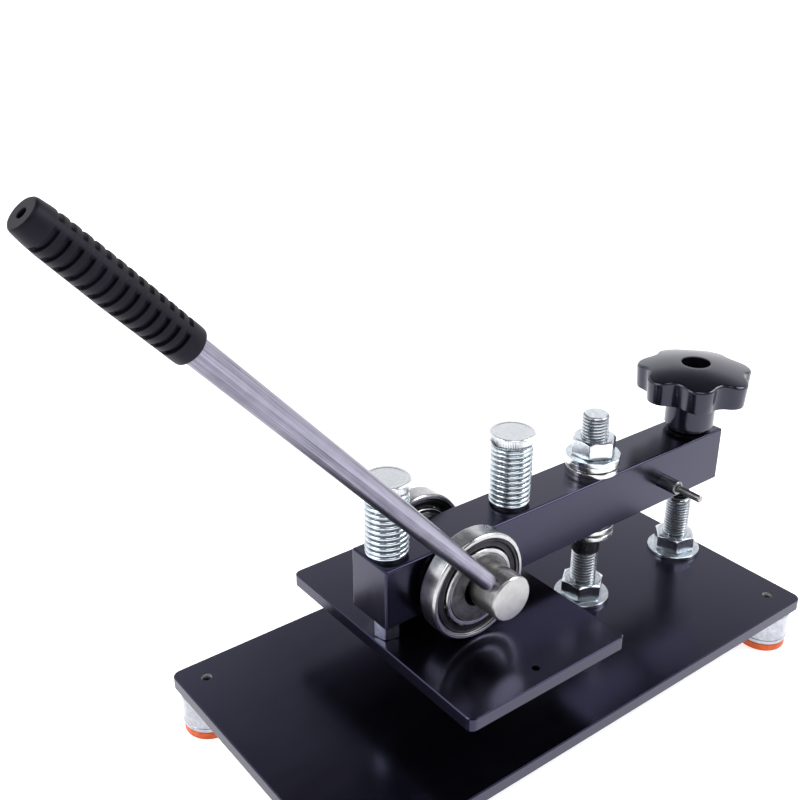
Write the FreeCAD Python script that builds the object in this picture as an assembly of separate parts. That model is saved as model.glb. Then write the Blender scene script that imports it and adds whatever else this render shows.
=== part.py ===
import FreeCAD, Part
import math
import os
from FreeCAD import Vector

# Hand lever press: base plate on four feet, a beam that swings on a fulcrum bolt,
# and a spring-lifted platen that two eccentric ball bearings push down.
# Millimetres. +X runs along the beam to the star knob, -Y is the lever side, +Z up.
# The origin is on the bench, under the middle of the base plate.

# base plate and feet
base_length = 350.0
base_width = 175.0
base_thickness = 8.0
base_corner_radius = 5.0
plate_edge = 0.6
foot_radius = 15.0
foot_height = 20.0
pad_height = 5.0
foot_inset = 15.0
foot_rim = 0.8
stud_radius = 3.0
stud_depth_in_foot = 12.0
stud_depth_below_plate_top = 2.5
stud_socket_across_flats = 3.0
stud_socket_depth = 2.5

# beam
beam_width = 30.0
beam_height = 36.0
beam_front_x = -98.0
beam_rear_x = 172.0
beam_bottom_z = 88.5
beam_edge_radius = 1.2

# platen and its two guide rods
platen_length = 110.0
platen_width = 160.0
platen_thickness = 8.0
platen_top_z = 73.2
platen_centre_x = -40.5
platen_corner_radius = 4.0
rod_positions = (("front", -86.0), ("rear", 0.0))
rod_radius = 5.0
rod_spigot_radius = 4.0
stop_nut_across_flats = 13.0
stop_nut_gap = 0.3
die_screw_radius = 2.1
die_screw_y = 70.0
bush_wall = 2.0
cap_radius = 13.0
cap_height = 7.0
cap_roof = 2.0
spring_radius = 10.6
spring_wire_radius = 1.2
spring_turns = 11.7
spring_length = 37.6

# eccentric cross shaft and its ball bearings
shaft_x = -43.0
shaft_z = 104.5
throw = 6.0
shaft_radius = 11.0
shaft_flat_depth = 3.0
shaft_bush_wall = 2.5
thrust_ring_wall = 6.0
end_screw_radius = 4.0
end_screw_length = 18.0
end_screw_head_height = 4.0
hub_radius = 13.0
hub_end_y = 50.0
hub_chamfer = 0.8
cam_radius = 20.0
cam_proud = 0.4
bearing_outer_radius = 31.0
bearing_width = 12.0
bearing_outer_face_y = 31.5
ring_wall = 3.0
ring_chamfer = 0.5
roller_balls = 20
shield_thickness = 0.8
shield_recess = 0.6

# lever
lever_y = -42.0
lever_angle = 132.5
lever_rod_radius = 6.0
lever_tenon_radius = 4.0
lever_tenon_depth = 3.0
lever_shoulder = 16.0
lever_reach = 318.0
grip_start = 241.5
grip_end = 322.0
grip_vent_radius = 2.0

# bolts, nuts and washers of 16 mm thread
bolt_radius = 8.0
bolt_head_height = 10.0
bolt_tip_chamfer = 1.4
nut_across_flats = 24.0
nut_height = 11.0
washer_radius = 17.0
washer_thickness = 2.5
fulcrum_x = 67.0
fulcrum_top_z = 160.3
rear_bolt_x = 156.0
rear_bolt_top_z = 74.5
race_radius = 16.0
race_bore_radius = 8.5
race_thickness = 2.8
thrust_height = 7.2
thrust_balls = 14
thrust_pitch_radius = 12.2
top_washer_radius = 16.3
top_washer_thickness = 3.0
collar_radius = 8.7
collar_length = 13.5

# star knob, adjusting screw and side plunger
screw_radius = 6.0
screw_insert_wall = 3.0
screw_to_bolt_gap = 0.5
knob_radius = 36.0
knob_lobes = 7
knob_lobe_radius = 10.5
knob_hollow_centre = 40.2
knob_first_lobe_angle = 224.5
knob_hub_radius = 15.5
knob_hub_height = 21.6
knob_head_height = 14.0
knob_dome_height = 7.0
knob_recess_radius = 8.8
knob_recess_depth = 9.0
insert_radius = 9.0
insert_collar_radius = 12.5
insert_collar_height = 3.0
plunger_x = 117.0
plunger_z = 104.5
sleeve_radius = 4.5
sleeve_outside = 12.0
sleeve_inside = 8.0
pin_radius = 2.2
pin_outside = 29.0
pin_inside = 4.0

running_gap = 0.05
free_gap = 0.3

# worked out from the sizes above
base_bottom_z = foot_height + pad_height
base_top_z = base_bottom_z + base_thickness
beam_top_z = beam_bottom_z + beam_height
half_beam = beam_width / 2
cam_x = shaft_x - throw
bearing_inner_face_y = bearing_outer_face_y - bearing_width
foot_spots = (
    ("front_left", -1, 1),
    ("front_right", -1, -1),
    ("rear_left", 1, 1),
    ("rear_right", 1, -1),
)

directions = {"x": Vector(1, 0, 0), "y": Vector(0, 1, 0), "z": Vector(0, 0, 1)}


def save(name, *solids):
    """Write one or more separate solids as the STEP file of one node."""
    shape = solids[0] if len(solids) == 1 else Part.makeCompound(list(solids))
    if not shape.isValid():
        raise ValueError(name + " is not a valid shape")
    shape.exportStep("parts/" + name + ".step")
    print(name, round(shape.Volume / 1000, 2), "cm3", len(shape.Solids), "solids")


def cylinder(radius, start, length, axis="z"):
    return Part.makeCylinder(radius, length, Vector(*start), directions[axis])


def tube(outer, inner, start, length, axis="z"):
    """A ring or sleeve; the bore is cut a little past both ends."""
    step = directions[axis]
    bore_start = Vector(*start) - step
    bore = Part.makeCylinder(inner, length + 2, bore_start, step)
    return cylinder(outer, start, length, axis).cut(bore)


def hexagon(across_flats, x, y, z, height, corner_angle=0.0):
    """A hexagonal prism standing on z, with one corner at corner_angle degrees."""
    reach = across_flats / math.sqrt(3)
    corners = []
    for k in range(7):
        turn = math.radians(corner_angle + 60 * k)
        corners.append(Vector(x + reach * math.cos(turn), y + reach * math.sin(turn), z))
    return Part.Face(Part.makePolygon(corners)).extrude(Vector(0, 0, height))


def revolve(points, x=0.0, y=0.0):
    """A solid of revolution about a vertical axis, from (radius, height) points."""
    outline = [Vector(r, 0, z) for r, z in points]
    outline.append(outline[0])
    solid = Part.Face(Part.makePolygon(outline)).revolve(Vector(0, 0, 0), directions["z"], 360)
    solid.translate(Vector(x, y, 0))
    return solid


def nut(x, z, corner_angle, across_flats=nut_across_flats, height=nut_height, bore=bolt_radius):
    """A hexagon nut with both faces chamfered to a circle at the corners."""
    reach = across_flats / math.sqrt(3)
    flat = across_flats / 2
    slope = (reach - flat) * 0.6
    blank = hexagon(across_flats, x, 0, z, height, corner_angle)
    top = z + height
    outline = [(0, z), (flat, z), (reach, z + slope), (reach, top - slope), (flat, top), (0, top)]
    envelope = revolve(outline, x)
    return blank.common(envelope).cut(cylinder(bore, (x, 0, z - 1), height + 2))


def plate(length, width, thickness, centre_x, bottom_z, corner_radius, edge):
    """A flat plate with rounded corners and softened rims."""
    box = Part.makeBox(length, width, thickness, Vector(centre_x - length / 2, -width / 2, bottom_z))
    uprights = [e for e in box.Edges if abs(e.tangentAt(e.FirstParameter).z) > 0.9]
    box = box.makeFillet(corner_radius, uprights)
    rims = [e for e in box.Edges if abs(e.BoundBox.ZLength) < 1e-6]
    return box.makeChamfer(edge, rims)


def balls(count, pitch_radius, radius, centre, axis):
    """A ring of balls about an axis through the centre."""
    ring = []
    for k in range(count):
        turn = 2 * math.pi * k / count
        across = pitch_radius * math.cos(turn)
        along = pitch_radius * math.sin(turn)
        offset = Vector(across, along, 0) if axis == "z" else Vector(across, 0, along)
        ring.append(Part.makeSphere(radius, Vector(*centre) + offset))
    return ring


def make_base():
    body = plate(
        base_length, base_width, base_thickness, 0, base_bottom_z, base_corner_radius, plate_edge)
    for x in (fulcrum_x, rear_bolt_x):
        body = body.cut(cylinder(bolt_radius, (x, 0, base_bottom_z - 1), base_thickness + 2))
    studs = []
    for name, side_x, side_y in foot_spots:
        x = side_x * (base_length / 2 - foot_inset)
        y = side_y * (base_width / 2 - foot_inset)
        body = body.cut(cylinder(stud_radius, (x, y, base_bottom_z - 1), base_thickness + 2))
        waist = foot_radius - foot_rim
        foot = revolve([
            (0, pad_height), (waist, pad_height), (foot_radius, pad_height + foot_rim),
            (foot_radius, base_bottom_z - foot_rim), (waist, base_bottom_z), (0, base_bottom_z),
        ], x, y)
        stud_bottom = base_bottom_z - stud_depth_in_foot
        stud_top = base_top_z - stud_depth_below_plate_top
        foot = foot.cut(cylinder(stud_radius, (x, y, stud_bottom), stud_depth_in_foot + 1))
        save("foot_body_" + name, foot)
        pad_radius = foot_radius - foot_rim / 2
        save("foot_pad_" + name, revolve([
            (0, 0), (pad_radius - foot_rim, 0), (pad_radius, foot_rim),
            (pad_radius, pad_height), (0, pad_height),
        ], x, y))
        stud = cylinder(stud_radius, (x, y, stud_bottom), stud_top - stud_bottom)
        socket_z = stud_top - stud_socket_depth
        studs.append(stud.cut(hexagon(stud_socket_across_flats, x, y, socket_z, stud_socket_depth + 1)))
    save("base_plate", body)
    save("foot_studs", *studs)


def bolt(x, top_z):
    """A hexagon bolt, head under the base plate, thread up to top_z."""
    head_z = base_bottom_z - bolt_head_height
    head = nut(x, head_z, 15, height=bolt_head_height)
    shank = cylinder(bolt_radius, (x, 0, head_z), top_z - head_z)
    tip = [e for e in shank.Edges if e.BoundBox.ZMin > top_z - 1e-6]
    return shank.makeChamfer(bolt_tip_chamfer, tip).fuse(head).removeSplitter()


def make_bolts():
    save("fulcrum_bolt", bolt(fulcrum_x, fulcrum_top_z))
    save("rear_bolt", bolt(rear_bolt_x, rear_bolt_top_z))
    washers = []
    for x in (fulcrum_x, rear_bolt_x):
        washers.append(tube(washer_radius, bolt_radius, (x, 0, base_top_z), washer_thickness))
    save("base_washers", *washers)
    nut_z = base_top_z + washer_thickness
    save("base_nuts", nut(fulcrum_x, nut_z, 216), nut(rear_bolt_x, nut_z, 227))


def thrust_bearing(name, bottom_z, lower_bore, upper_bore):
    """A ball thrust bearing: two flat races with a brass cage of balls between them."""
    x = fulcrum_x
    upper_z = bottom_z + thrust_height - race_thickness
    save(name + "_bottom_race", tube(race_radius, lower_bore, (x, 0, bottom_z), race_thickness))
    save(name + "_top_race", tube(race_radius, upper_bore, (x, 0, upper_z), race_thickness))
    gap = thrust_height - 2 * race_thickness
    ball_radius = gap / 2 - 0.15
    middle_z = bottom_z + thrust_height / 2
    ring = balls(thrust_balls, thrust_pitch_radius, ball_radius, (x, 0, middle_z), "z")
    cage = tube(race_radius - 0.8, race_bore_radius + 0.6, (x, 0, middle_z - 0.3), 0.6)
    for k in range(thrust_balls):
        turn = 2 * math.pi * k / thrust_balls
        across = thrust_pitch_radius * math.cos(turn)
        along = thrust_pitch_radius * math.sin(turn)
        spot = (x + across, along, middle_z - 1)
        cage = cage.cut(cylinder(ball_radius + 0.1, spot, 2))
    save(name + "_ball_cage", cage, *ring)


def make_fulcrum_stack():
    below = beam_bottom_z - thrust_height
    thrust_bearing("lower_thrust", below, bolt_radius, race_bore_radius)
    thrust_bearing("upper_thrust", beam_top_z, race_bore_radius, bolt_radius)
    collar_place = (fulcrum_x, 0, below - collar_length)
    save("support_collar", tube(collar_radius, bolt_radius, collar_place, collar_length))
    washer_z = beam_top_z + thrust_height
    washer_place = (fulcrum_x, 0, washer_z)
    save("top_washer", tube(top_washer_radius, bolt_radius, washer_place, top_washer_thickness))
    save("top_nut", nut(fulcrum_x, washer_z + top_washer_thickness, 213.5))


def make_beam():
    length = beam_rear_x - beam_front_x
    corner = Vector(beam_front_x, -half_beam, beam_bottom_z)
    body = Part.makeBox(length, beam_width, beam_height, corner)
    body = body.makeFillet(beam_edge_radius, body.Edges)
    # upright bores, each lined by a bush that is as long as the beam is high
    bushes = [("guide_bush_" + name, x, rod_radius, bush_wall) for name, x in rod_positions]
    bushes.append(("fulcrum_bush", fulcrum_x, bolt_radius, shaft_bush_wall))
    bushes.append(("screw_insert", rear_bolt_x, screw_radius, screw_insert_wall))
    for name, x, radius, wall in bushes:
        body = body.cut(cylinder(radius + wall, (x, 0, beam_bottom_z - 1), beam_height + 2))
        save(name, tube(radius + wall, radius + running_gap, (x, 0, beam_bottom_z), beam_height))
    # the cross shaft's bore, with a short bush from each side
    bore_radius = shaft_radius + shaft_bush_wall
    body = body.cut(cylinder(bore_radius, (shaft_x, -half_beam - 1, shaft_z), beam_width + 2, "y"))
    bush_length = half_beam - bush_wall
    for name, start in (("near", -half_beam), ("far", bush_wall)):
        place = (shaft_x, start, shaft_z)
        save("shaft_bush_" + name, tube(bore_radius, shaft_radius + running_gap, place, bush_length, "y"))
    sleeve_place = (plunger_x, -half_beam - 1, plunger_z)
    body = body.cut(cylinder(sleeve_radius, sleeve_place, sleeve_inside + 1, "y"))
    save("beam", body)
    ring_width = bearing_inner_face_y - free_gap - half_beam
    ring_radius = shaft_radius + thrust_ring_wall
    for name, start in (("near", -half_beam - ring_width), ("far", half_beam)):
        place = (shaft_x, start, shaft_z)
        save("thrust_ring_" + name, tube(ring_radius, shaft_radius + free_gap, place, ring_width, "y"))


def make_platen():
    bottom_z = platen_top_z - platen_thickness
    body = plate(
        platen_length, platen_width, platen_thickness,
        platen_centre_x, bottom_z, platen_corner_radius, plate_edge)
    for _, x in rod_positions:
        body = body.cut(cylinder(rod_spigot_radius, (x, 0, bottom_z - 1), platen_thickness + 2))
    for y in (-die_screw_y, die_screw_y):
        body = body.cut(cylinder(die_screw_radius, (shaft_x, y, bottom_z - 1), platen_thickness + 2))
    save("platen", body)
    cap_z = beam_top_z + spring_length
    spigot_top = cap_z + cap_height - cap_roof
    stop_height = beam_bottom_z - stop_nut_gap - platen_top_z
    for name, x in rod_positions:
        spigot = cylinder(rod_spigot_radius, (x, 0, bottom_z), spigot_top - bottom_z)
        rod = cylinder(rod_radius, (x, 0, platen_top_z), cap_z - platen_top_z)
        save("guide_rod_" + name, rod.fuse(spigot).removeSplitter())
        stop = nut(x, platen_top_z, 225, stop_nut_across_flats, stop_height, rod_radius)
        save("stop_nut_" + name, stop)
        cap = revolve([
            (0, cap_z), (cap_radius - 1.6, cap_z), (cap_radius - 0.3, cap_z + 2.6),
            (cap_radius, cap_z + cap_height - 0.8), (cap_radius - 0.8, cap_z + cap_height),
            (0, cap_z + cap_height),
        ], x)
        save("spring_cap_" + name, cap.cut(spigot))
        save("spring_" + name, make_spring(x))


def make_spring(x):
    """A compression spring; its ends are cut flat on the beam and on the cap."""
    pitch = spring_length / spring_turns
    height = spring_length + 2 * pitch
    path = Part.makeHelix(pitch, height, spring_radius)
    wire = Part.makeCircle(spring_wire_radius, Vector(spring_radius, 0, 0), directions["y"])
    coil = Part.Wire(path).makePipeShell([Part.Wire(wire)], True, True)
    coil.translate(Vector(x, 0, beam_top_z - pitch))
    keep = cylinder(2 * spring_radius, (x, 0, beam_top_z), spring_length)
    pieces = coil.common(keep).Solids
    return max(pieces, key=lambda piece: piece.Volume)


def make_cross_shaft():
    inner = bearing_inner_face_y
    outer = bearing_outer_face_y
    shaft = cylinder(shaft_radius, (shaft_x, -inner, shaft_z), 2 * inner, "y")
    spigot = cylinder(shaft_radius, (shaft_x, inner, shaft_z), bearing_width, "y")
    flat_corner = Vector(shaft_x - shaft_radius, inner, shaft_z - shaft_radius)
    spigot = spigot.cut(Part.makeBox(2 * shaft_radius, bearing_width, shaft_flat_depth, flat_corner))
    cam = cylinder(cam_radius, (cam_x, -outer - cam_proud, shaft_z), bearing_width + cam_proud, "y")
    hub = cylinder(hub_radius, (shaft_x, -hub_end_y, shaft_z), hub_end_y - outer, "y")
    rim = [e for e in hub.Edges if e.BoundBox.YMax < -hub_end_y + 0.01]
    hub = hub.makeChamfer(hub_chamfer, rim)
    stem = cylinder(end_screw_radius, (shaft_x, outer - end_screw_length, shaft_z), end_screw_length, "y")
    whole = shaft.fuse([spigot, cam, hub]).removeSplitter()
    whole = whole.cut(stem)
    whole = whole.cut(lever_solid([
        (0, lever_tenon_depth), (lever_tenon_radius, lever_tenon_depth),
        (lever_tenon_radius, lever_shoulder), (0, lever_shoulder),
    ]))
    save("cam_shaft", whole)
    far_cam = cylinder(cam_radius, (cam_x, inner, shaft_z), bearing_width, "y")
    save("far_cam", far_cam.cut(spigot))
    head = cylinder(hub_radius, (shaft_x, outer, shaft_z), end_screw_head_height, "y")
    save("end_screw", head.fuse(stem).removeSplitter())


def make_roller_bearings():
    """The two sealed ball bearings, one on each cam, that roll on the platen."""
    for name, start in (("near", -bearing_outer_face_y), ("far", bearing_inner_face_y)):
        place = (cam_x, start, shaft_z)
        inner_wall = cam_radius + ring_wall
        outer_wall = bearing_outer_radius - ring_wall
        save("bearing_inner_" + name, tube(inner_wall, cam_radius, place, bearing_width, "y"))
        outer = tube(bearing_outer_radius, outer_wall, place, bearing_width, "y")
        rims = [e for e in outer.Edges if e.Closed and e.BoundBox.XLength > 2 * bearing_outer_radius - 0.1]
        save("bearing_outer_" + name, outer.makeChamfer(ring_chamfer, rims))
        middle = (cam_x, start + bearing_width / 2, shaft_z)
        pitch_radius = (inner_wall + outer_wall) / 2
        ball_radius = (outer_wall - inner_wall) / 2 - free_gap
        save("bearing_balls_" + name, *balls(roller_balls, pitch_radius, ball_radius, middle, "y"))
        shields = []
        for offset in (shield_recess, bearing_width - shield_recess - shield_thickness):
            spot = (cam_x, start + offset, shaft_z)
            shields.append(tube(outer_wall, inner_wall + free_gap, spot, shield_thickness, "y"))
        save("bearing_shields_" + name, *shields)


def lever_solid(points):
    """A solid of revolution about the lever's axis, from (radius, distance) points."""
    solid = revolve(points)
    solid.rotate(Vector(0, 0, 0), directions["y"], 90 - lever_angle)
    solid.translate(Vector(shaft_x, lever_y, shaft_z))
    return solid


def make_lever():
    rod = lever_solid([
        (0, lever_tenon_depth), (lever_tenon_radius, lever_tenon_depth), (lever_tenon_radius, 13.4),
        (4.8, lever_shoulder), (lever_rod_radius, 92.0), (lever_rod_radius, lever_reach - 1),
        (lever_rod_radius - 1, lever_reach), (0, lever_reach),
    ])
    save("lever_rod", rod)
    # barrel-shaped grip, as (radius, distance from the shaft) points
    grip = lever_solid([
        (0, grip_start), (7.6, grip_start), (8.3, grip_start + 0.8), (8.4, grip_start + 9),
        (8.6, grip_start + 40), (8.0, grip_end - 12), (7.2, grip_end - 1), (6.4, grip_end), (0, grip_end),
    ])
    vent = lever_solid([
        (0, lever_reach - 1), (grip_vent_radius, lever_reach - 1),
        (grip_vent_radius, grip_end + 1), (0, grip_end + 1),
    ])
    save("lever_grip", grip.cut(rod).cut(vent))


def knob_outline(z):
    """The star outline: round lobes joined by round hollows."""
    half = math.pi / knob_lobes
    lobe = Vector(knob_radius - knob_lobe_radius, 0, 0)
    hollow = Vector(knob_hollow_centre * math.cos(half), knob_hollow_centre * math.sin(half), 0)
    hollow_radius = hollow.distanceToPoint(lobe) - knob_lobe_radius
    joint = lobe + (hollow - lobe).normalize() * knob_lobe_radius
    tip = Vector(knob_radius, 0, 0)
    bottom = hollow * (1 - hollow_radius / hollow.Length)

    def place(point, turn):
        c, s = math.cos(turn), math.sin(turn)
        return Vector(rear_bolt_x + point.x * c - point.y * s, point.x * s + point.y * c, z)

    edges = []
    for k in range(knob_lobes):
        turn = math.radians(knob_first_lobe_angle) + 2 * half * k
        before = place(Vector(joint.x, -joint.y, 0), turn)
        after = place(joint, turn)
        following = place(Vector(joint.x, -joint.y, 0), turn + 2 * half)
        edges.append(Part.Arc(before, place(tip, turn), after).toShape())
        edges.append(Part.Arc(after, place(bottom, turn), following).toShape())
    return Part.Wire(edges)


def make_knob():
    """The knob, its insert with a collar that stands on the beam, and the adjusting screw."""
    x = rear_bolt_x
    insert_z = beam_top_z + free_gap
    hub_z = insert_z + insert_collar_height
    head_z = hub_z + knob_hub_height
    rim_z = head_z + knob_head_height
    apex_z = rim_z + knob_dome_height
    hub = cylinder(knob_hub_radius, (x, 0, hub_z), knob_hub_height + 2)
    head = Part.Face(knob_outline(head_z)).extrude(Vector(0, 0, apex_z - head_z))
    dome_radius = (knob_radius ** 2 + knob_dome_height ** 2) / (2 * knob_dome_height)
    head = head.common(Part.makeSphere(dome_radius, Vector(x, 0, apex_z - dome_radius)))
    body = hub.fuse(head).removeSplitter()
    recess_z = apex_z - knob_recess_depth
    body = body.cut(cylinder(knob_recess_radius, (x, 0, recess_z), knob_recess_depth + 1))
    bore_length = head_z - hub_z
    body = body.cut(cylinder(insert_radius, (x, 0, hub_z - 1), bore_length + 1))
    save("star_knob", body)
    insert = cylinder(insert_radius, (x, 0, insert_z), head_z - insert_z)
    insert = insert.fuse(cylinder(insert_collar_radius, (x, 0, insert_z), insert_collar_height))
    insert = insert.removeSplitter()
    bore = cylinder(screw_radius + running_gap, (x, 0, insert_z - 1), head_z - insert_z + 2)
    save("knob_insert", insert.cut(bore))
    tip_z = rear_bolt_top_z + screw_to_bolt_gap
    save("adjusting_screw", cylinder(screw_radius, (x, 0, tip_z), head_z - free_gap - tip_z))


def make_plunger():
    sleeve_place = (plunger_x, -half_beam - sleeve_outside, plunger_z)
    sleeve_length = sleeve_outside + sleeve_inside
    save("plunger_sleeve", tube(sleeve_radius, pin_radius + running_gap, sleeve_place, sleeve_length, "y"))
    pin_y = -half_beam - pin_outside
    pin = cylinder(pin_radius, (plunger_x, pin_y, plunger_z), pin_outside + pin_inside, "y")
    ends = [e for e in pin.Edges if e.BoundBox.YMax < pin_y + 0.1]
    save("plunger_pin", pin.makeChamfer(0.5, ends))


os.makedirs("parts", exist_ok=True)
make_base()
make_bolts()
make_fulcrum_stack()
make_beam()
make_platen()
make_cross_shaft()
make_roller_bearings()
make_lever()
make_knob()
make_plunger()
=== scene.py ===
import math

import bmesh
import bpy
from mathutils import Matrix, Vector


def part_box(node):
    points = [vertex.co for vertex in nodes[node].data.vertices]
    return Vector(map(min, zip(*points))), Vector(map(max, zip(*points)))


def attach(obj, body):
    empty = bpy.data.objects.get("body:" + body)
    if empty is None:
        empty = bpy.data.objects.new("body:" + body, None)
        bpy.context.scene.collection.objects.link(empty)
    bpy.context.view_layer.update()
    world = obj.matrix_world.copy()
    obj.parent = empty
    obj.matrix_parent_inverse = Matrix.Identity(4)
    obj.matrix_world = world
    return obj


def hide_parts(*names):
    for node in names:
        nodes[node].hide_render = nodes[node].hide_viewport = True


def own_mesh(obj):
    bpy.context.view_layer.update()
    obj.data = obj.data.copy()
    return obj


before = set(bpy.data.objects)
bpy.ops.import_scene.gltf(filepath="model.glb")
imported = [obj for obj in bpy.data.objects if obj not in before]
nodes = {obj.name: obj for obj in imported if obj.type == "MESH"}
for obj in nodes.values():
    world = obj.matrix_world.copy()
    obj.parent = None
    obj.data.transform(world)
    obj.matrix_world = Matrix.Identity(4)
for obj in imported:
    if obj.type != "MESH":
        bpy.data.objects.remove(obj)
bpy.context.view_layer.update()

mm = 0.001
upAxis = (0, 0, 1)
acrossAxis = (0, 1, 0)


# places on the CAD nodes, in millimetres

def middle(node):
    bottom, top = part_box(node)
    return (bottom + top) / 2 / mm


def low(node, axis="z"):
    return getattr(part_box(node)[0], axis) / mm


def high(node, axis="z"):
    return getattr(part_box(node)[1], axis) / mm


def turningLine(node):
    # where an axis along Y passes; rounded, because the CAD's circles have facets
    centre = middle(node)
    return round(centre.x, 1), 0, round(centre.z, 1)


fulcrum = middle("fulcrum_bolt")
rear = middle("rear_bolt")
shaftLine = turningLine("end_screw")
camLine = turningLine("far_cam")
plungerLine = turningLine("plunger_pin")


class Wire:
    # a socket that can be written in plain arithmetic
    def __init__(self, tree, socket):
        self.tree = tree
        self.socket = socket

    def node(self, kind, settings=None, sockets=None, out=0):
        made = self.tree.nodes.new(kind)
        for name, value in (settings or {}).items():
            if name == "stops":
                fillRamp(made.color_ramp, value)
            else:
                setattr(made, name, value)
        for name, value in (sockets or {}).items():
            if isinstance(value, Wire):
                self.tree.links.new(value.socket, made.inputs[name])
            else:
                made.inputs[name].default_value = value
        return Wire(self.tree, made.outputs[out])

    def calc(self, operation, first, second=0.0):
        return self.node("ShaderNodeMath", {"operation": operation}, {0: first, 1: second})

    def __add__(self, other):
        return self.calc("ADD", self, other)

    def __sub__(self, other):
        return self.calc("SUBTRACT", self, other)

    def __rsub__(self, other):
        return self.calc("SUBTRACT", other, self)

    def __mul__(self, other):
        return self.calc("MULTIPLY", self, other)

    __radd__ = __add__
    __rmul__ = __mul__

    def step(self, zeroAt, oneAt):
        # smooth from 0 to 1; it falls instead of rising where oneAt is the lower of the two
        settings = {"interpolation_type": "SMOOTHSTEP"}
        return self.node("ShaderNodeMapRange", settings, {"Value": self, 1: zeroAt, 2: oneAt})

    def shifted(self, offset):
        return self.node("ShaderNodeVectorMath", {"operation": "ADD"}, {0: self, 1: offset})

    def stretched(self, scale):
        return self.node("ShaderNodeVectorMath", {"operation": "MULTIPLY"}, {0: self, 1: scale})

    def length(self):
        return self.node("ShaderNodeVectorMath", {"operation": "LENGTH"}, {0: self}, out="Value")

    def part(self, axis):
        return self.node("ShaderNodeSeparateXYZ", None, {0: self}, out="XYZ".index(axis))

    def noise(self, scale, detail=2.0, roughness=0.5):
        values = {"Vector": self, "Scale": scale, "Detail": detail, "Roughness": roughness}
        return self.node("ShaderNodeTexNoise", None, values)

    def cells(self, scale):
        values = {"Vector": self, "Scale": scale}
        return self.node("ShaderNodeTexVoronoi", None, values)

    def blend(self, dark, light):
        settings = {"data_type": "RGBA"}
        return self.node("ShaderNodeMix", settings, {"Factor": self, 6: dark, 7: light}, out=2)

    def bump(self, strength, depth):
        values = {"Height": self, "Strength": strength, "Distance": depth}
        return self.node("ShaderNodeBump", None, values)


def fillRamp(ramp, stops):
    while len(ramp.elements) < len(stops):
        ramp.elements.new(0.5)
    for element, (position, colour) in zip(ramp.elements, stops):
        element.position = position
        element.color = colour


def newFinish(name):
    # a material, its main shader, and the place on the object in millimetres
    material = bpy.data.materials.new(name)
    material.use_nodes = True
    tree = material.node_tree
    shader = tree.nodes["Principled BSDF"]
    start = Wire(tree, shader.outputs[0])
    place = start.node("ShaderNodeTexCoord", out="Object").stretched((1000.0, 1000.0, 1000.0))
    return material, shader, place


def feed(shader, **links):
    names = {"colour": "Base Color", "roughness": "Roughness", "metallic": "Metallic",
             "coat": "Coat Weight", "normal": "Normal"}
    for key, value in links.items():
        socket = shader.inputs[names[key]]
        if isinstance(value, Wire):
            value.tree.links.new(value.socket, socket)
        else:
            socket.default_value = value


def grey(level):
    return (level, level, level, 1.0)


def gloss(shader, level=None, tint=None):
    if level is not None:
        shader.inputs["Specular IOR Level"].default_value = level
    if tint is not None:
        shader.inputs["Specular Tint"].default_value = tint


powderCoat = {"dark": (0.0003, 0.0003, 0.0006, 1), "light": (0.0012, 0.0011, 0.0022, 1),
              "fleck": (0.012, 0.012, 0.016, 1), "roughness": 0.21, "grain": 1.9, "grainDepth": 0.008,
              "gloss": 0.66, "glossTint": (0.54, 0.52, 1.0, 1)}


def paintBlack():
    material, shader, place = newFinish("satinBlackPaint")
    grain = place.noise(powderCoat["grain"], 3.0, 0.6)
    cloud = place.noise(0.018, 4.0, 0.6)
    smear = place.stretched((0.3, 1.0, 1.0)).noise(0.11, 3.0, 0.55)
    fleck = place.cells(0.33).step(0.045, 0.02)
    colour = (cloud * 0.7 + grain * 0.3).step(0.3, 0.7).blend(powderCoat["dark"], powderCoat["light"])
    colour = (fleck * 0.3).blend(colour, powderCoat["fleck"])
    roughness = cloud * 0.10 + smear * 0.08 + grain * 0.05 + (powderCoat["roughness"] - 0.11)
    feed(shader, colour=colour, roughness=roughness, metallic=0.0,
         normal=grain.bump(0.35, powderCoat["grainDepth"] * mm))
    gloss(shader, powderCoat["gloss"], powderCoat["glossTint"])
    return material


zinc = {"dark": (0.46, 0.50, 0.54, 1), "light": (0.72, 0.75, 0.78, 1), "roughness": 0.17}
zincBlush = (0.56, 0.66, 0.70, 1)


def plateZinc(name="brightZinc", look=zinc, blush=0.25, grain=0.4):
    # bright zinc plate: cloudy passivation over fine tool marks
    material, shader, place = newFinish(name)
    cloud = place.noise(0.35, 4.0, 0.6)
    fine = place.noise(3.5, 3.0, 0.7)
    hue = place.shifted((31.0, 7.0, 13.0)).noise(0.12, 2.0, 0.5).step(0.45, 0.62)
    colour = (cloud * (1 - grain) + fine * grain).step(0.32, 0.68).blend(look["dark"], look["light"])
    colour = (hue * blush).blend(colour, zincBlush)
    scratch = place.stretched((1.0, 1.0, 0.15)).noise(6.0, 2.0, 0.7)
    roughness = cloud * 0.10 + fine * 0.08 + (look["roughness"] - 0.06)
    feed(shader, colour=colour, roughness=roughness, metallic=1.0,
         normal=(fine * 0.6 + scratch * 0.4).bump(0.25, 0.006 * mm))
    return material


# the dark colour is painted shade in the thread roots; the radii say where it lies
threadAndRootShade = {"crest": 7.6, "root": 7.0, "minor": 6.5, "dark": (0.18, 0.19, 0.205, 1), "roughness": 0.12}


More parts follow.
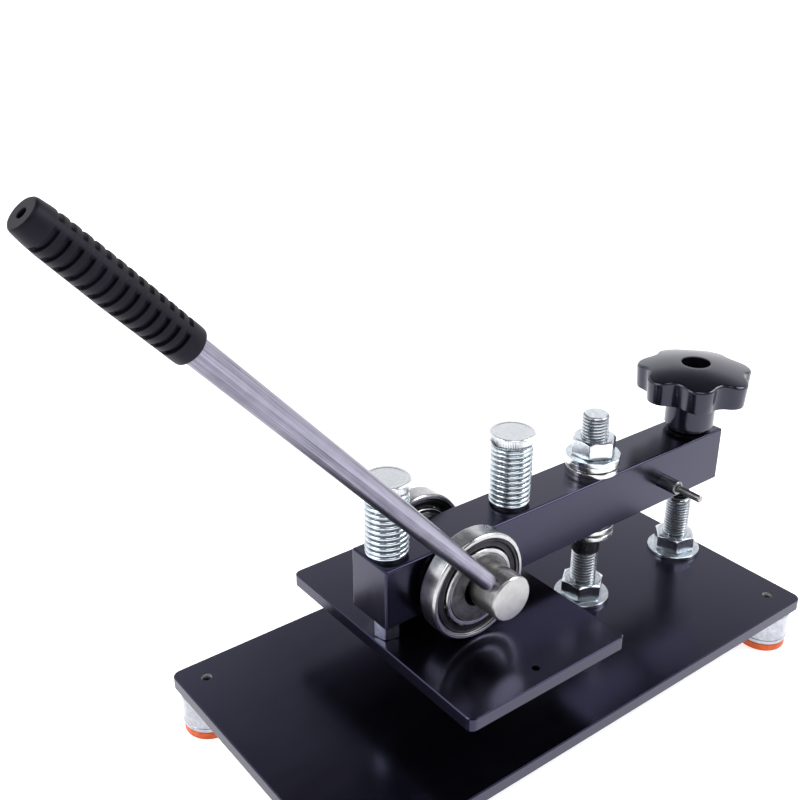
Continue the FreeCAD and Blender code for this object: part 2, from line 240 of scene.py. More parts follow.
def threadZinc():
    # rolled thread: bright crests, and roots darkened by painted shade
    material, shader, place = newFinish("boltThread")
    level = place.stretched((1.0, 1.0, 0.0))
    first, second = (level.shifted((-bolt.x, 0.0, 0.0)).length() for bolt in (fulcrum, rear))
    radius = first.calc("MINIMUM", first, second)
    cloud = place.noise(0.35, 4.0, 0.6)
    fine = place.noise(3.5, 3.0, 0.7)
    # painted shade: the colour darkens from the crest radius in to the root radius, and fades out again
    # inside the minor radius
    root = radius.step(threadAndRootShade["crest"], threadAndRootShade["root"])
    root = root * radius.step(threadAndRootShade["minor"], threadAndRootShade["minor"] + 0.2)
    colour = (cloud * 0.6 + fine * 0.4).step(0.32, 0.68).blend(zinc["dark"], zinc["light"])
    colour = root.blend(colour, threadAndRootShade["dark"])
    roughness = cloud * 0.1 + fine * 0.08 + root * 0.25 + threadAndRootShade["roughness"]
    feed(shader, colour=colour, roughness=roughness, metallic=1.0, normal=fine.bump(0.2, 0.006 * mm))
    return material


def drawnSteel(name, angle, look):
    # steel bar with streaks along its length, which rises at an angle about Y
    material, shader, place = newFinish(name)
    turn = {"vector_type": "POINT"}
    rotated = place.node("ShaderNodeMapping", turn, {"Vector": place, "Rotation": (0.0, angle, 0.0)})
    lines = rotated.stretched((0.012, 1.0, 1.0)).noise(1.6, 4.0, 0.65)
    band = rotated.stretched((0.01, 1.0, 1.0)).noise(0.22, 2.0, 0.5)
    cloud = place.noise(0.06, 3.0, 0.55)
    fine = place.noise(4.0, 2.0, 0.6)
    shade = (lines * 0.45 + band * 0.35 + cloud * 0.2).step(0.36, 0.64)
    roughness = lines * 0.14 + cloud * 0.10 + fine * 0.04 + (look["roughness"] - 0.14)
    feed(shader, colour=shade.blend(look["dark"], look["light"]), roughness=roughness, metallic=1.0,
         normal=(lines * 0.5 + fine * 0.2).bump(0.3, 0.008 * mm))
    return material


pitted = (0.16, 0.15, 0.15, 1)


def turnedSteel(name, centre, look, ringScale=2.2, litEndFrom=None):
    # steel turned round an axis along Y through centre; beyond the given Y the end face gets lighter colours,
    # painted light for the light falling on it
    material, shader, place = newFinish(name)
    radius = place.shifted((-centre[0], 0.0, -centre[2])).stretched((1.0, 0.0, 1.0)).length()
    cloud = place.noise(0.16, 4.0, 0.6)
    across = place.part("Y")
    track = radius.node("ShaderNodeCombineXYZ", None, {"X": radius * ringScale, "Y": across * ringScale})
    rings = track.noise(1.4, 4.0, 0.7)
    spots = place.cells(0.9).step(0.10, 0.04)
    colour = (rings * 0.5 + cloud * 0.5).step(0.34, 0.66).blend(look["dark"], look["light"])
    colour = (spots * 0.3).blend(colour, pitted)
    # painted light: the end face is mixed to the lighter face colours
    if litEndFrom is not None:
        paintedLitEnd = (cloud * 0.6 + rings * 0.4).step(0.3, 0.7).blend(look["face"], look["litEndLight"])
        colour = across.step(litEndFrom + 0.5, litEndFrom).blend(colour, paintedLitEnd)
    roughness = rings * 0.16 + cloud * 0.14 + (look["roughness"] - 0.15)
    feed(shader, colour=colour, roughness=roughness, metallic=1.0,
         normal=rings.bump(0.3, 0.010 * mm))
    return material


gripRubber = {"dark": (0.0016, 0.0014, 0.0026, 1), "light": (0.0050, 0.0045, 0.0075, 1),
              "dust": (0.030, 0.028, 0.036, 1), "roughness": 0.34,
              "gloss": 0.17, "glossTint": (0.80, 0.76, 1.0, 1)}


def mouldedRubber():
    material, shader, place = newFinish("gripRubber")
    grain = place.noise(2.6, 4.0, 0.7)
    cloud = place.noise(0.09, 3.0, 0.6)
    dust = place.shifted((5.0, 3.0, 9.0)).noise(0.9, 4.0, 0.75).step(0.60, 0.78)
    colour = cloud.step(0.3, 0.7).blend(gripRubber["dark"], gripRubber["light"])
    colour = (dust * 0.2).blend(colour, gripRubber["dust"])
    roughness = grain * 0.15 + cloud * 0.12 + gripRubber["roughness"]
    feed(shader, colour=colour, roughness=roughness, metallic=0.0, normal=grain.bump(0.4, 0.03 * mm))
    gloss(shader, gripRubber["gloss"], gripRubber["glossTint"])
    return material


knobPlastic = {"dark": (0.0020, 0.0020, 0.0034, 1), "light": (0.0050, 0.0048, 0.0080, 1), "roughness": 0.12,
               "coat": 0.1, "coatRoughness": 0.12, "coatTint": (0.85, 0.85, 1.0, 1),
               "glossTint": (0.70, 0.70, 1.0, 1)}


def glossyBakelite():
    material, shader, place = newFinish("knobPlastic")
    ripple = place.noise(0.22, 2.0, 0.5)
    fine = place.noise(5.0, 2.0, 0.6)
    haze = place.shifted((2.0, 8.0, 1.0)).noise(0.05, 4.0, 0.6)
    scuff = place.stretched((1.0, 0.12, 1.0)).noise(1.8, 3.0, 0.7).step(0.62, 0.75)
    colour = haze.step(0.3, 0.7).blend(knobPlastic["dark"], knobPlastic["light"])
    roughness = haze * 0.10 + scuff * 0.08 + fine * 0.05 + knobPlastic["roughness"]
    feed(shader, colour=colour, roughness=roughness, metallic=0.0, coat=haze * 0.3 + knobPlastic["coat"],
         normal=(ripple * 0.7 + fine * 0.1).bump(0.25, 0.08 * mm))
    shader.inputs["Coat Roughness"].default_value = knobPlastic["coatRoughness"]
    shader.inputs["Coat Tint"].default_value = knobPlastic["coatTint"]
    gloss(shader, tint=knobPlastic["glossTint"])
    return material


padRubber = {"dark": (0.50, 0.070, 0.010, 1), "light": (0.68, 0.120, 0.022, 1),
             "soiled": (0.42, 0.07, 0.03, 1), "soiledFrom": 2.4, "roughness": 0.32, "gloss": 0.25}


def orangeRubber():
    material, shader, place = newFinish("orangePad")
    cloud = place.noise(0.25, 4.0, 0.6)
    grain = place.noise(3.0, 3.0, 0.7)
    nearFloor = place.part("Z").step(padRubber["soiledFrom"], 0.2)
    colour = cloud.step(0.3, 0.7).blend(padRubber["dark"], padRubber["light"])
    colour = (nearFloor * grain * 0.5).blend(colour, padRubber["soiled"])
    feed(shader, colour=colour, roughness=grain * 0.2 + padRubber["roughness"], metallic=0.0,
         normal=(grain * 0.6 + cloud).bump(0.3, 0.05 * mm))
    gloss(shader, padRubber["gloss"])
    return material


blackOxide = {"dark": (0.012, 0.012, 0.016, 1), "light": (0.045, 0.043, 0.052, 1), "roughness": 0.22}


def blackenedSteel():
    material, shader, place = newFinish("blackOxide")
    cloud = place.noise(0.5, 4.0, 0.6)
    fine = place.noise(4.0, 3.0, 0.7)
    colour = cloud.step(0.35, 0.7).blend(blackOxide["dark"], blackOxide["light"])
    feed(shader, colour=colour, roughness=cloud * 0.2 + fine * 0.1 + blackOxide["roughness"], metallic=0.8,
         normal=fine.bump(0.3, 0.01 * mm))
    return material


bushBronze = {"dark": (0.33, 0.20, 0.08, 1), "light": (0.58, 0.40, 0.19, 1), "pore": (0.09, 0.055, 0.03, 1),
              "roughness": 0.26}


def sinteredBronze():
    material, shader, place = newFinish("bushBronze")
    pores = place.cells(1.6).step(0.16, 0.05)
    cloud = place.noise(0.4, 4.0, 0.6)
    colour = cloud.step(0.3, 0.7).blend(bushBronze["dark"], bushBronze["light"])
    colour = (pores * 0.6).blend(colour, bushBronze["pore"])
    feed(shader, colour=colour, roughness=cloud * 0.2 + bushBronze["roughness"], metallic=1.0,
         normal=(1 - pores).bump(0.4, 0.02 * mm))
    return material


floorPaper = {"dark": (0.90, 0.90, 0.915, 1), "light": (0.93, 0.93, 0.94, 1), "roughness": 0.6, "gloss": 0.15,
              "glow": 0.74}


def paperFloor():
    material, shader, place = newFinish("paleFloor")
    tooth = place.noise(0.8, 3.0, 0.6)
    colour = tooth.blend(floorPaper["dark"], floorPaper["light"])
    feed(shader, colour=colour, roughness=tooth * 0.1 + floorPaper["roughness"], metallic=0.0)
    gloss(shader, floorPaper["gloss"])
    shader.inputs["Emission Color"].default_value = grey(1.0)
    shader.inputs["Emission Strength"].default_value = floorPaper["glow"]
    return material


leverAngle = 132.5  # degrees from the beam's rear, at rest
shaftLitEndFrom = -49.7  # the hub's end face beyond this Y is painted lighter, as painted light
barSteel = {"dark": (0.12, 0.115, 0.150, 1), "light": (0.31, 0.30, 0.375, 1), "roughness": 0.30}
# the face colours are lighter than the side, painted light for the light falling on the hub's end face
shaftSteelWithLitEnd = {"dark": (0.24, 0.235, 0.235, 1), "light": (0.42, 0.41, 0.41, 1), "roughness": 0.33,
              "face": (0.38, 0.375, 0.37, 1), "litEndLight": (0.52, 0.515, 0.51, 1)}
groundSteel = {"dark": (0.36, 0.36, 0.37, 1), "light": (0.58, 0.58, 0.59, 1), "roughness": 0.22}
pressedSteel = {"dark": (0.022, 0.021, 0.024, 1), "light": (0.055, 0.053, 0.060, 1), "roughness": 0.36}
# the cam's colours are darker partly for its own darker steel and partly as painted shade for the shadow of
# the hub and lever
camSteelAndShade = {"dark": (0.085, 0.083, 0.085, 1), "light": (0.20, 0.195, 0.20, 1), "roughness": 0.36}
sleeveSteel = {"dark": (0.12, 0.12, 0.13, 1), "light": (0.28, 0.28, 0.30, 1), "roughness": 0.32}
springZinc = {"dark": (0.36, 0.41, 0.45, 1), "light": (0.62, 0.67, 0.71, 1), "roughness": 0.13}
capZinc = {"dark": (0.62, 0.64, 0.66, 1), "light": (0.72, 0.74, 0.76, 1), "roughness": 0.24}
footChrome = {"dark": (0.32, 0.33, 0.37, 1), "light": (0.48, 0.49, 0.53, 1), "roughness": 0.14}
bareMetal = {"dark": grey(0.72), "light": grey(0.88), "roughness": 0.55}
rodSteel = {"dark": grey(0.5), "light": grey(0.66), "roughness": 0.2}
raceSteel = {"dark": grey(0.5), "light": grey(0.76), "roughness": 0.14}

finishes = {
    "paint": paintBlack(),
    "zinc": plateZinc(),
    "spring": plateZinc("springZinc", springZinc, 0.35),
    "cap": plateZinc("capZinc", capZinc, 0.15, 0.12),
    "bareThread": plateZinc("bareThread", bareMetal, 0.0),
    "foot": plateZinc("footChrome", footChrome, 0.1),
    "bar": drawnSteel("leverSteel", math.radians(leverAngle), barSteel),
    "rod": plateZinc("guideRodSteel", rodSteel, 0.0),
    "hub": turnedSteel("turnedShaft", shaftLine, shaftSteelWithLitEnd, 2.2, shaftLitEndFrom),
    "sleeve": turnedSteel("sleeveSteel", shaftLine, sleeveSteel, 1.4),
    "thread": threadZinc(),
    "cam": turnedSteel("camSteelAndShade", camLine, camSteelAndShade, 1.6),
    "ring": turnedSteel("bearingRing", camLine, groundSteel, 3.0),
    "shield": turnedSteel("bearingShield", camLine, pressedSteel, 3.4),
    "race": plateZinc("thrustRace", raceSteel, 0.0),
    "rubber": mouldedRubber(),
    "plastic": glossyBakelite(),
    "orange": orangeRubber(),
    "blackSteel": blackenedSteel(),
    "bronze": sinteredBronze(),
    "floor": paperFloor(),
}
print("finishes ready:", len(finishes))


# mesh builders: every size is in millimetres, and becomes metres as the mesh is made

def makePiece(name, shapes, finish, body, stands=(), sharp=32.0):
    # shapes are pairs of points and faces; stands are the CAD nodes that the piece stands for
    mesh = bpy.data.meshes.new(name)
    work = bmesh.new()
    for points, faces in shapes:
        made = [work.verts.new((x * mm, y * mm, z * mm)) for x, y, z in points]
        for face in faces:
            work.faces.new([made[i] for i in face])
    bmesh.ops.remove_doubles(work, verts=work.verts, dist=2e-7)
    bmesh.ops.dissolve_degenerate(work, edges=work.edges, dist=1e-7)
    bmesh.ops.recalc_face_normals(work, faces=work.faces)
    work.to_mesh(mesh)
    work.free()
    mesh.shade_smooth()
    mesh.set_sharp_from_angle(angle=math.radians(sharp))
    piece = bpy.data.objects.new(name, mesh)
    bpy.context.scene.collection.objects.link(piece)
    mesh.materials.append(finishes[finish])
    flatFaces = piece.modifiers.new("flatFaces", "WEIGHTED_NORMAL")
    flatFaces.keep_sharp = True  # broad faces stay flat beside eased edges
    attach(piece, body)
    if stands:
        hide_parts(*stands)
    return piece


def axisFrame(origin, axis):
    # gives a function from (radius, turn, distance along axis) to a point
    along = Vector(axis).normalized()
    side = Vector((0, -1, 0)) if abs(along.y) < 0.9 else Vector((1, 0, 0))
    side = (side - along * side.dot(along)).normalized()
    other = along.cross(side)
    start = Vector(origin)

    def point(radius, turn, distance):
        return start + along * distance + (side * math.cos(turn) + other * math.sin(turn)) * radius
    return point


def joinRings(rings, loop=False):
    # quads between neighbouring rings of points, and a fan over each open end
    points = [p for ring in rings for p in ring]
    count = len(rings[0])
    faces = []
    for i in range(len(rings) if loop else len(rings) - 1):
        a, b = i * count, ((i + 1) % len(rings)) * count
        for k in range(count):
            n = (k + 1) % count
            faces.append((a + k, a + n, b + n, b + k))
    if not loop:
        for i in (0, len(rings) - 1):
            points.append(sum((Vector(p) for p in rings[i]), Vector()) / count)
            for k in range(count):
                faces.append((i * count + k, i * count + (k + 1) % count, len(points) - 1))
    return points, faces


def soften(outline, rounding, loop=False, steps=3):
    # rounds the corners of an outline of (radius, distance) points
    result = []
    total = len(outline)
    for i, corner in enumerate(outline):
        if not loop and i in (0, total - 1):
            result.append(corner)
            continue
        here = Vector(corner)
        toBack = Vector(outline[i - 1]) - here
        toNext = Vector(outline[(i + 1) % total]) - here
        reach = min(rounding, toBack.length * 0.45, toNext.length * 0.45)
        if toBack.length < 1e-6 or toNext.length < 1e-6 or toBack.angle(-toNext) < 0.2:
            result.append(corner)
            continue
        first = here + toBack.normalized() * reach
        second = here + toNext.normalized() * reach
        for k in range(steps + 1):
            t = k / steps
            p = first * (1 - t) ** 2 + here * 2 * t * (1 - t) + second * t ** 2
            result.append((p.x, p.y))
    return result


def turned(outline, origin, axis, rounding=0.3, loop=False, sides=96, wave=None):
    # a lathe shape; wave(turn, radius, distance) may change the radius round the axis
    point = axisFrame(origin, axis)
    rings = []
    for radius, distance in soften(outline, rounding, loop):
        ring = []
        for k in range(sides):
            turn = 2 * math.pi * k / sides
            r = wave(turn, radius, distance) if wave else radius
            ring.append(point(max(r, 0.001), turn, distance))
        rings.append(ring)
    return joinRings(rings, loop)


def ringOutline(outer, inner, start, end):
    return [(inner, start), (outer, start), (outer, end), (inner, end)]


# pairs of phase along one pitch and depth, both 0 to 1
threadShape = ((0.0, 0.0), (0.12, 0.0), (0.30, 0.55), (0.46, 1.0), (0.62, 1.0), (0.80, 0.5))


def threadCut(phase):
    # how deep the thread is, 0 to 1, at a phase along one pitch
    knots = threadShape + ((1.0, 0.0),)
    phase %= 1.0
    for (a, first), (b, second) in zip(knots, knots[1:]):
        if phase <= b:
            return first + (second - first) * (phase - a) / (b - a)
    return 0.0


def threaded(x, y, bottom, top, radius, pitch, depth, tip=1.4):
    # a screw thread whose crests and roots follow the helix, chamfered at the top
    sides = 48
    samples = len(threadShape)
    turns = math.ceil((top - bottom) / pitch) + 2
    points = []
    for i in range(turns * samples):
        for k in range(sides):
            z = bottom + (i // samples - 1 + threadShape[i % samples][0] + k / sides) * pitch
            z = min(max(z, bottom), top)
            r = radius - depth * threadCut((z - bottom) / pitch - k / sides)
            r = min(r, radius - tip + (top - z))
            turn = 2 * math.pi * k / sides
            points.append((x + r * math.cos(turn), y + r * math.sin(turn), z))
    faces = []
    rows = turns * samples
    for i in range(rows - 1):
        a = i * sides
        for k in range(sides - 1):
            faces.append((a + k, a + k + 1, a + k + 1 + sides, a + k + sides))
        if i + 1 + samples < rows:
            n = a + samples * sides
            faces.append((a + sides - 1, n, n + sides, a + 2 * sides - 1))
    for z, first in ((bottom, 0), (top, (rows - 1) * sides)):
        points.append((x, y, z))
        for k in range(sides):
            faces.append((first + k, first + (k + 1) % sides, len(points) - 1))
    return points, faces


def hexNut(x, y, bottom, height, acrossFlats, bore, cornerAngle, ease=0.22):
    # chamfered corners, a countersunk bore and eased edges; bore is a radius
    flat = acrossFlats / 2
    rim = flat * 0.95
    slope = math.tan(math.radians(30))
    top = bottom + height
    spots = (-30, -29.2, -27.5, -22, -15, -7, 0, 7, 15, 22, 27.5, 29.2)
    rings = [[] for _ in range(14)]
    for side in range(6):
        for spot in spots:
            reach = flat / math.cos(math.radians(spot))
            if spot == -30:
                reach -= 0.16
            drop = (reach - rim) * slope
            lean = ease * 0.5
            across = [
                (bore, top - 1.0), (bore + 1.0, top), (rim - ease, top), (rim, top - lean * 0.5),
                (reach - ease * 0.8, top - drop + lean * 0.6), (reach, top - drop - ease),
                (reach, bottom + height / 2),
            ]
            profile = across + [(r, 2 * bottom + height - z) for r, z in reversed(across)]
            turn = math.radians(cornerAngle + 60 * side + spot + 30)
            for ring, (r, z) in zip(rings, profile):
                ring.append((x + r * math.cos(turn), y + r * math.sin(turn), z))
    return joinRings(rings, loop=True)


# CAD nodes that stay, and the finish of each

keptNodes = {
    "base_plate": "paint", "beam": "paint", "platen": "paint",
    "foot_studs": "blackSteel",
    "guide_bush_front": "bronze", "guide_bush_rear": "bronze", "fulcrum_bush": "bronze",
    "shaft_bush_near": "bronze", "shaft_bush_far": "bronze", "screw_insert": "zinc",
    "bearing_balls_near": "race", "bearing_balls_far": "race",
}
for name, finish in keptNodes.items():
    materials = nodes[name].data.materials
    for i in range(len(materials)):
        materials[i] = finishes[finish]
print("painted plates, beam and hidden bushes")

# feet: polished body with turned rims, orange pad under it

foot = {"radius": 15.0, "rim": 0.8, "collar": 3.0, "waist": 0.35, "padRadius": 14.6}
for corner in ("front_left", "front_right", "rear_left", "rear_right"):
    node = "foot_body_" + corner
    spot = (middle(node).x, middle(node).y, 0)
    z0, z1 = low(node), high(node)
    r, rim, collar, waist = foot["radius"], foot["rim"], foot["collar"], foot["waist"]
    outline = [(0, z0), (r - rim, z0), (r, z0 + rim), (r, z0 + collar), (r - waist, z0 + collar + 0.3),
               (r - waist, z1 - collar - 0.3), (r, z1 - collar), (r, z1 - rim), (r - rim, z1), (0, z1)]
    makePiece("foot_" + corner, [turned(outline, spot, upAxis, 0.35)], "foot", "base", [node])
    pad = "foot_pad_" + corner
    p0, p1 = low(pad), high(pad)
    r = foot["padRadius"]
    outline = [(0, p0 + 0.4), (r - 4.0, p0 + 0.4), (r - 5.0, p0), (r - 0.6, p0), (r, p0 + 0.7),
               (r, p1 - 0.5), (r - 0.4, p1), (0, p1)]
    makePiece("pad_" + corner, [turned(outline, spot, upAxis, 0.5)], "orange", "base", [pad])

cornerHole = {"x": 160.0, "y": 72.5, "outer": 3.04, "inner": 2.8, "start": 30.6, "end": 32.7}
wall = ringOutline(cornerHole["outer"], cornerHole["inner"], cornerHole["start"], cornerHole["end"])
makePiece("tapped_hole_walls", [
    turned(wall, (sx * cornerHole["x"], sy * cornerHole["y"], 0), upAxis, 0.1, True, sides=48)
    for sx in (-1, 1) for sy in (-1, 1)], "bareThread", "base")
print("feet made")

# the two bolts that stand on the base, with their nuts and washers

bolt = {"radius": 8.0, "pitch": 2.0, "depth": 1.22, "headFlats": 24.0, "head": 10.0, "headAngle": 216}
for node, spot, name in (("fulcrum_bolt", fulcrum, "tall_bolt"), ("rear_bolt", rear, "short_bolt")):
    z0 = low(node)
    head = hexNut(spot.x, spot.y, z0, bolt["head"], bolt["headFlats"], 3.0, bolt["headAngle"])
    fillEnd = z0 + bolt["head"] - 0.4
    headFill = turned([(0, z0 + 0.4), (9.0, z0 + 0.4), (9.0, fillEnd), (0, fillEnd)],
                      (spot.x, spot.y, 0), upAxis)
    stem = threaded(spot.x, spot.y, z0 + bolt["head"] - 1.0, high(node),
                    bolt["radius"], bolt["pitch"], bolt["depth"])
    makePiece(name, [head, headFill, stem], "thread", "base", [node], sharp=40.0)

nut = {"flats": 24.0, "bore": 7.2, "height": 11.0, "tallAngle": 216, "shortAngle": 227, "topAngle": 213.5}
washer = {"outer": 17.0, "topOuter": 16.3, "bore": 8.5, "edge": 0.55}
collar = {"outer": 8.7, "bore": 7.4}


def bigNut(spot, node, angle):
    return hexNut(spot.x, spot.y, low(node), nut["height"], nut["flats"], nut["bore"], angle)


def flatRing(spot, node, outer, bore, edge):
    return turned(ringOutline(outer, bore, low(node), high(node)), (spot.x, spot.y, 0), upAxis, edge, True)


lowerNuts = [bigNut(fulcrum, "base_nuts", nut["tallAngle"]), bigNut(rear, "base_nuts", nut["shortAngle"])]
lowerWashers = [flatRing(spot, "base_washers", washer["outer"], washer["bore"], washer["edge"])
                for spot in (fulcrum, rear)]
topWasher = flatRing(fulcrum, "top_washer", washer["topOuter"], washer["bore"], washer["edge"])
supportRing = flatRing(fulcrum, "support_collar", collar["outer"], collar["bore"], 0.4)
makePiece("lower_nuts", lowerNuts, "zinc", "base", ["base_nuts"], sharp=40.0)
makePiece("lower_washers", lowerWashers, "zinc", "base", ["base_washers"])
makePiece("upper_nut", [bigNut(fulcrum, "top_nut", nut["topAngle"])], "zinc", "base", ["top_nut"], sharp=40.0)
makePiece("upper_washer", [topWasher], "zinc", "base", ["top_washer"])
makePiece("support_ring", [supportRing], "blackSteel", "base", ["support_collar"])
print("bolts, nuts and washers made")

# thrust bearings above and below the beam: two races with a caged row of balls between

thrust = {"outer": 16.0, "bore": 8.3, "ballRing": 12.2, "groove": 1.8, "grooveDepth": 0.5,
          "cage": 14.6, "cageBore": 9.6, "cageHalf": 0.45, "balls": 14}


def roundBall(centre, radius, rows=10, sides=16):
    x, y, z = centre
    outline = [(radius * math.sin(math.pi * i / rows), z - radius * math.cos(math.pi * i / rows))
               for i in range(rows + 1)]
    return turned(outline, (x, y, 0), upAxis, 0.0, sides=sides)


boltFoot = (fulcrum.x, fulcrum.y, 0)
for place in ("lower", "upper"):
    for level in ("bottom", "top"):
        node = f"{place}_thrust_{level}_race"
        z0, z1 = low(node), high(node)
        r, bore, ballRing, groove = thrust["outer"], thrust["bore"], thrust["ballRing"], thrust["groove"]
        race, dip = [(bore, z0), (r, z0), (r, z1), (bore, z1)], thrust["grooveDepth"]
        if level == "bottom":
            race[3:3] = [(ballRing + groove, z1), (ballRing, z1 - dip), (ballRing - groove, z1)]
        else:
            race[1:1] = [(ballRing - groove, z0), (ballRing, z0 + dip), (ballRing + groove, z0)]
        besideBeam = (place, level) in (("lower", "top"), ("upper", "bottom"))
        makePiece(node + "_ring", [turned(race, boltFoot, upAxis, 0.35, True)], "race",
                  "arm" if besideBeam else "base", [node])
    cage = f"{place}_thrust_ball_cage"
    ballRadius = (high(cage) - low(cage)) / 2
    mid, half = low(cage) + ballRadius, thrust["cageHalf"]
    outline = ringOutline(thrust["cage"], thrust["cageBore"], mid - half, mid + half)
    plate = turned(outline, boltFoot, upAxis, 0.2, True)
    balls = []
    for k in range(thrust["balls"]):
        turn = 2 * math.pi * (k + 0.35) / thrust["balls"]
        reach = thrust["ballRing"]
        centre = (fulcrum.x + reach * math.cos(turn), fulcrum.y + reach * math.sin(turn), mid)
        balls.append(roundBall(centre, ballRadius))
    makePiece(cage + "_balls", [plate] + balls, "race", "base", [cage], sharp=40.0)
print("thrust bearings made")

# guide rods, stop nuts, springs and knurled caps

rod = {"tenon": 4.0, "radius": 5.0, "neck": 5.0}
stopNut = {"height": 15.0, "flats": 13.0, "bore": 5.05, "angle": 225}
coil = {"radius": 10.6, "wire": 1.2, "turns": 11.7, "closed": 1.1, "startTurn": 0.8,
        "length": 37.6, "travel": 5.8}
cap = {"knurls": 88, "knurlDepth": 0.28, "knurlFrom": 1.0, "knurlTo": 6.3}


def coilSpring(x, y, z0, z1):
    # closed at both ends, open between; the end coils are ground flat
    wire, turns, closed = coil["wire"], coil["turns"], coil["closed"]
    perTurn, around = 40, 14
    openPitch = (z1 - z0 - 2 * wire - 2 * closed * 2 * wire) / (turns - 2 * closed)
    rings = []
    for i in range(int(turns * perTurn) + 1):
        t = i / perTurn
        z = z0 + wire + min(t, closed) * 2 * wire
        z += max(0.0, min(t, turns - closed) - closed) * openPitch
        z += max(0.0, t - (turns - closed)) * 2 * wire
        turn = coil["startTurn"] + t * 2 * math.pi
        ring = []
        for k in range(around):
            a = 2 * math.pi * k / around
            r = coil["radius"] + wire * math.cos(a)
            h = min(max(z + wire * math.sin(a), z0 + 0.02), z1 - 0.02)
            ring.append(Vector((x + r * math.cos(turn), y + r * math.sin(turn), h)))
        rings.append(ring)
    return joinRings(rings)


capBase = low("spring_cap_front")


def knurl(turn, radius, distance):
    # only the steep side of the cap is knurled
    if cap["knurlFrom"] < distance - capBase < cap["knurlTo"]:
        return radius - cap["knurlDepth"] * (0.5 + 0.5 * math.cos(turn * cap["knurls"]))
    return radius


for place in ("front", "rear"):
    node = "guide_rod_" + place
    spot = (middle(node).x, middle(node).y, 0)
    z0, z1 = low(node), high(node)
    r, thin, plateTop, neckStart = rod["radius"], rod["tenon"], high("platen"), z1 - rod["neck"]
    outline = [(0, z0), (thin - 0.6, z0), (thin, z0 + 0.6), (thin, plateTop), (r, plateTop), (r, neckStart),
               (thin, neckStart), (thin, z1), (0, z1)]
    makePiece("slide_rod_" + place, [turned(outline, spot, upAxis, 0.25, sides=64)], "rod", "platen", [node])
    node = "stop_nut_" + place
    shape = hexNut(spot[0], spot[1], low(node), stopNut["height"], stopNut["flats"], stopNut["bore"],
                   stopNut["angle"])
    makePiece("limit_nut_" + place, [shape], "zinc", "platen", [node], sharp=40.0)
    node = "spring_" + place
    z0, z1 = low(node), high(node)
    spring = makePiece("return_spring_" + place, [coilSpring(spot[0], spot[1], z0, z1)],
                       "spring", "arm", [node], sharp=60.0)
    z0 * mm
    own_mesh(spring)
    node = "spring_cap_" + place
    z0, z1 = low(node), high(node)
    outline = [(0, z0), (11.0, z0), (11.5, z0 + 0.6), (12.2, z0 + 1.4), (12.7, z0 + 2.4), (13.0, z0 + 4.4),
               (13.0, z0 + 6.1), (12.7, z0 + 6.5), (12.2, z1), (10.4, z1), (10.2, z1 - 0.12), (0, z1 - 0.12)]
    shape = turned(outline, spot, upAxis, 0.22, sides=cap["knurls"] * 6, wave=knurl)
    makePiece("knurled_cap_" + place, [shape], "cap", "platen", [node])
print("guide rods, springs and caps made")

# cross shaft, cams and the two roller bearings

shaft = {"radius": 11.0, "hub": 13.0, "hubEnd": -31.5, "hubFace": 12.1}
cam = {"radius": 20.0, "bore": 10.5, "ease": 0.6, "inside": 19.5, "nearOutside": 31.9, "farOutside": 31.5}
y0, y1 = low("cam_shaft", "y"), high("cam_shaft", "y")
r, hub, hubEnd = shaft["radius"], shaft["hub"], shaft["hubEnd"]
hubOutline = [(0, y0), (shaft["hubFace"], y0), (hub, y0 + 0.95), (hub, hubEnd - 0.4), (hub - 0.4, hubEnd),
              (r, hubEnd), (r, y1 - 0.4), (r - 0.4, y1), (0, y1)]
makePiece("cross_shaft", [turned(hubOutline, shaftLine, acrossAxis, 0.25)], "hub", "lever", ["cam_shaft"])


def camDisc(start, end):
    r, bore, ease = cam["radius"], cam["bore"], cam["ease"]
    outline = [(bore, start), (r - ease, start), (r, start + ease),
               (r, end - ease), (r - ease, end), (bore, end)]
    return turned(outline, camLine, acrossAxis, 0.2, True)


makePiece("near_cam_disc", [camDisc(-cam["nearOutside"], -cam["inside"])], "cam", "lever", ["cam_shaft"])
makePiece("far_cam_disc", [camDisc(cam["inside"], cam["farOutside"])], "cam", "lever", ["far_cam"])
screwHead = [(0, 30.0), (8.0, 30.0), (8.0, 31.5), (12.2, 31.5), (13.0, 32.2), (13.0, 34.6), (12.0, 35.5),
             (5.2, 35.5), (4.9, 35.2), (4.9, 33.6), (0, 33.3)]
makePiece("shaft_end_screw", [turned(screwHead, shaftLine, acrossAxis, 0.3)], "blackSteel", "lever",
          ["end_screw"])

